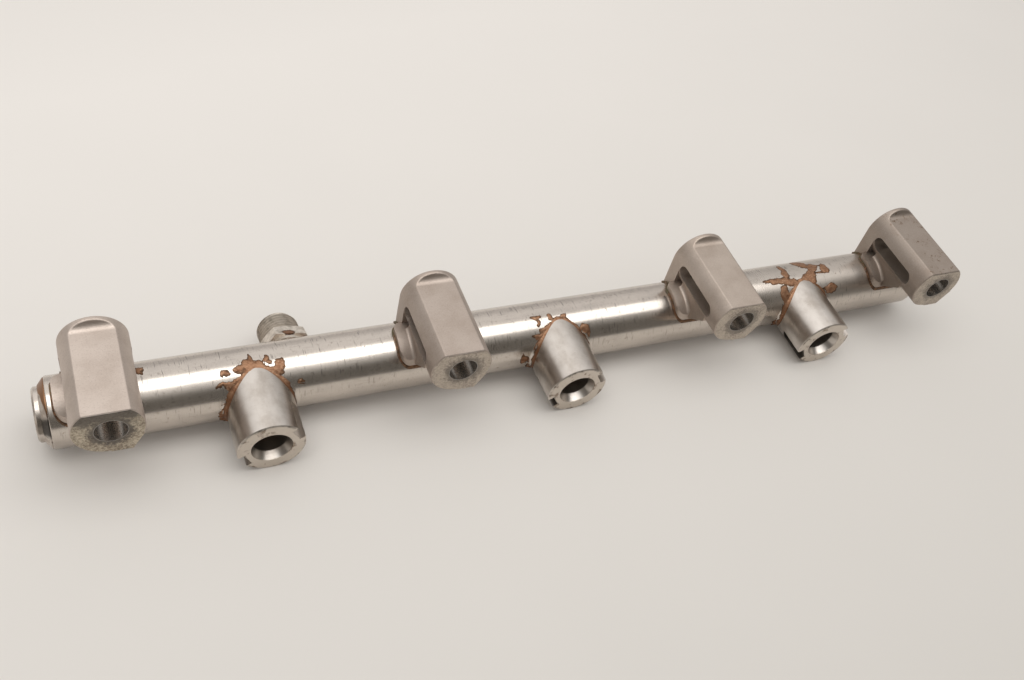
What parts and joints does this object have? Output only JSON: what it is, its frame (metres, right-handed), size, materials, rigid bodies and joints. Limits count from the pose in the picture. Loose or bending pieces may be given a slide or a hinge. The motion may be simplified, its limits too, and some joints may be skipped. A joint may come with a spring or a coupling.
{
  "type": "fuel rail",
  "caption": "High-pressure fuel rail: a thick steel tube with brazed injector cups along its front, cast bolt lugs on top, plugged ends and a threaded inlet at the back.",
  "frame": {"origin": "centre of the parallel bore of the middle injector cup, where an injector's seal sits", "axes": "X along the tube, with the inlet at the -X end; -Y along the cups and the bolt holes, the way an injector comes out; +Z from the tube up to the lugs"},
  "size_m": [0.3268, 0.0547, 0.045],
  "materials": {
    "tube_steel": "drawn and polished round the tube, bright",
    "turned_steel": "fine turned, satin",
    "fitting_steel": "machined, dulled",
    "cast_steel": "investment cast and blasted, warm satin grey",
    "braze": "copper braze, oxidised brown"
  },
  "bodies": {
    "root": {"rail_tube": "tube_steel", "end_plug_left": "tube_steel", "end_plug_right": "tube_steel", "injector_cup_1": "turned_steel", "injector_cup_2": "turned_steel", "injector_cup_3": "turned_steel", "mounting_lug_1": "cast_steel", "mounting_lug_2": "cast_steel", "mounting_lug_3": "cast_steel", "mounting_lug_4": "cast_steel", "inlet_fitting": "fitting_steel", "braze_cup_1": "braze", "braze_cup_2": "braze", "braze_cup_3": "braze", "braze_lug_1": "braze", "braze_lug_2": "braze", "braze_lug_3": "braze", "braze_lug_4": "braze", "braze_plug_left": "braze", "braze_plug_right": "braze", "braze_inlet": "braze"}
  },
  "joints": []
}
